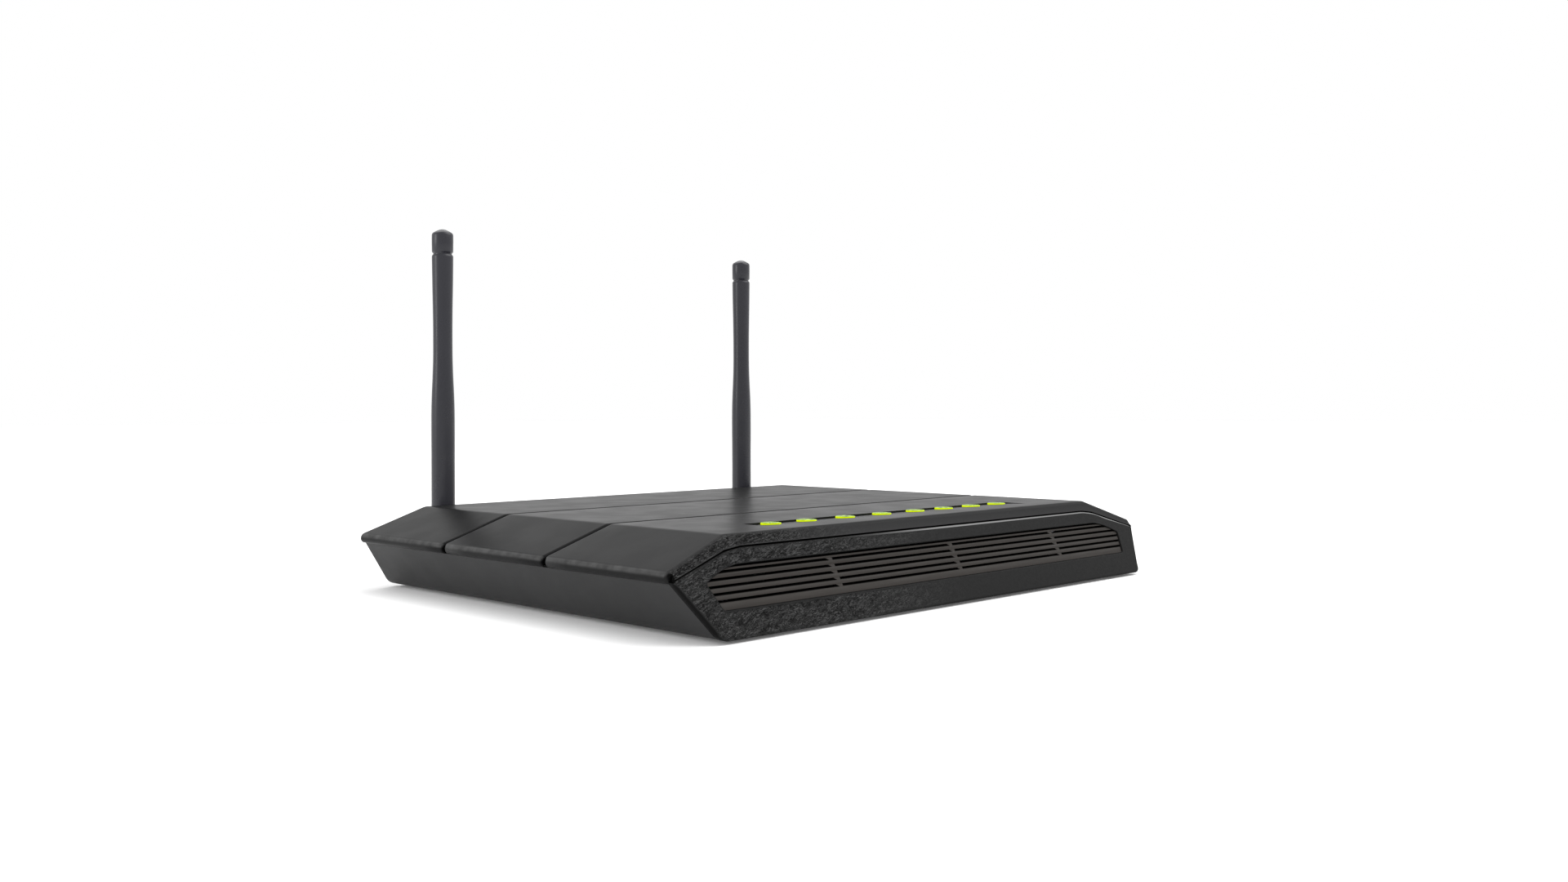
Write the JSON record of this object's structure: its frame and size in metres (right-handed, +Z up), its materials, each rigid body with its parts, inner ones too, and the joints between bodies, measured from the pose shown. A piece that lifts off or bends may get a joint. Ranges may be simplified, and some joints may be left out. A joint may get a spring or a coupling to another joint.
{
  "type": "optical network terminal",
  "caption": "Flat six-sided desktop optical network terminal with a louvred leaning front, a row of status lamps, rear sockets and buttons, and upright fold-and-turn rod antennas.",
  "frame": {"origin": "middle of the outer box at rest, antennas included, at the height of the feet's soles", "axes": "+X to the right seen from the front, +Y towards the rear panel and the antennas, +Z up; the grille faces -Y"},
  "size_m": [0.2512, 0.2048, 0.14],
  "materials": {
    "adapter_green": "moulded",
    "antenna_plastic": "satin",
    "bezel_plastic": "leather-like grain",
    "board_laminate": "solder mask",
    "button_plastic": "satin",
    "cable_jacket": "extruded",
    "can_tin": "tinned",
    "cap_elastomer": "soft matt",
    "capacitor_can": "sleeved",
    "case_plastic": "satin",
    "chip_epoxy": "moulded epoxy",
    "contact_gold": "gold plated",
    "cover_plastic": "fine satin texture",
    "ferrite": "matt",
    "foot_rubber": "matt",
    "grille_plastic": "satin",
    "inner_brass": "bright",
    "label_paper": "matt film",
    "lan_plastic": "moulded nylon, yellow",
    "led_body": "glossy",
    "light_guide": "clear, lit yellow-green",
    "pad_silicone": "soft",
    "phone_plastic": "moulded nylon, grey",
    "screw_steel": "zinc plated",
    "sink_aluminium": "anodised",
    "sleeve_zirconia": "polished",
    "socket_plastic": "moulded nylon"
  },
  "bodies": {
    "case": {"alignment_sleeve": "sleeve_zirconia", "antenna_bush_left": "antenna_plastic", "antenna_bush_right": "antenna_plastic", "antenna_nuts": "screw_steel", "board_screws": "screw_steel", "bottom_case": "case_plastic", "capacitors": "capacitor_can", "case_screws": "screw_steel", "coax_cable_left": "cable_jacket", "coax_cable_right": "cable_jacket", "dc_jack": "socket_plastic", "dc_jack_pin": "inner_brass", "fibre_adapter": "adapter_green", "front_bezel": "bezel_plastic", "heat_sink": "sink_aluminium", "indicator_leds": "led_body", "lan_contacts": "contact_gold", "lan_jack_block": "lan_plastic", "lan_transformers": "chip_epoxy", "light_guide_strip": "light_guide", "main_board": "board_laminate", "memory_chips": "chip_epoxy", "optical_transceiver": "screw_steel", "phone_contacts": "contact_gold", "phone_jack_block": "phone_plastic", "phone_line_chip": "chip_epoxy", "power_inductors": "ferrite", "power_switch": "socket_plastic", "processor_chip": "chip_epoxy", "rating_label": "label_paper", "rear_panel": "case_plastic", "rubber_feet": "foot_rubber", "thermal_pad": "pad_silicone", "top_cover": "cover_plastic", "touch_switches": "socket_plastic", "transceiver_shield": "can_tin", "usb_shell": "can_tin", "usb_tongue": "socket_plastic", "vent_grille": "grille_plastic", "wifi_shield_cans": "can_tin"},
    "left_knuckle": {"antenna_knuckle_left": "antenna_plastic"},
    "left_whip": {"antenna_whip_left": "antenna_plastic", "antenna_cap_left": "antenna_plastic", "antenna_radiator_left": "inner_brass", "antenna_hinge_pin_left": "screw_steel"},
    "right_knuckle": {"antenna_knuckle_right": "antenna_plastic"},
    "right_whip": {"antenna_whip_right": "antenna_plastic", "antenna_cap_right": "antenna_plastic", "antenna_radiator_right": "inner_brass", "antenna_hinge_pin_right": "screw_steel"},
    "power_button": {"power_button": "button_plastic"},
    "wps_button": {"wps_button": "button_plastic"},
    "wlan_button": {"wlan_button": "button_plastic"},
    "reset_plunger": {"reset_plunger": "button_plastic"},
    "dust_cap": {"fibre_dust_cap": "cap_elastomer"}
  },
  "joints": [
    {"name": "left_antenna_swivel", "type": "hinge", "parent": "case", "child": "left_knuckle", "pos_m": [-0.083, 0.09068, 0.015], "axis": [0, -1, 0], "range_deg": [-35, 90]},
    {"name": "left_antenna_fold", "type": "hinge", "parent": "left_knuckle", "child": "left_whip", "pos_m": [-0.083, 0.09768, 0.015], "axis": [-1, 0, 0], "range_deg": [0, 90]},
    {"name": "right_antenna_swivel", "type": "hinge", "parent": "case", "child": "right_knuckle", "pos_m": [0.083, 0.09068, 0.015], "axis": [0, 1, 0], "range_deg": [-35, 90]},
    {"name": "right_antenna_fold", "type": "hinge", "parent": "right_knuckle", "child": "right_whip", "pos_m": [0.083, 0.09768, 0.015], "axis": [-1, 0, 0], "range_deg": [0, 90]},
    {"name": "power_button_press", "type": "slide", "parent": "case", "child": "power_button", "axis": [0, -1, 0], "range_m": [0, 0.002], "stiffness_N_per_m": 1200},
    {"name": "wps_button_press", "type": "slide", "parent": "case", "child": "wps_button", "axis": [0, -1, 0], "range_m": [0, 0.0006], "stiffness_N_per_m": 2500},
    {"name": "wlan_button_press", "type": "slide", "parent": "case", "child": "wlan_button", "axis": [0, -1, 0], "range_m": [0, 0.0006], "stiffness_N_per_m": 2500},
    {"name": "reset_plunger_press", "type": "slide", "parent": "case", "child": "reset_plunger", "axis": [0, -1, 0], "range_m": [0, 0.0004], "stiffness_N_per_m": 2500},
    {"name": "dust_cap_pull", "type": "slide", "parent": "case", "child": "dust_cap", "axis": [0, 1, 0], "range_m": [0, 0.014]}
  ]
}
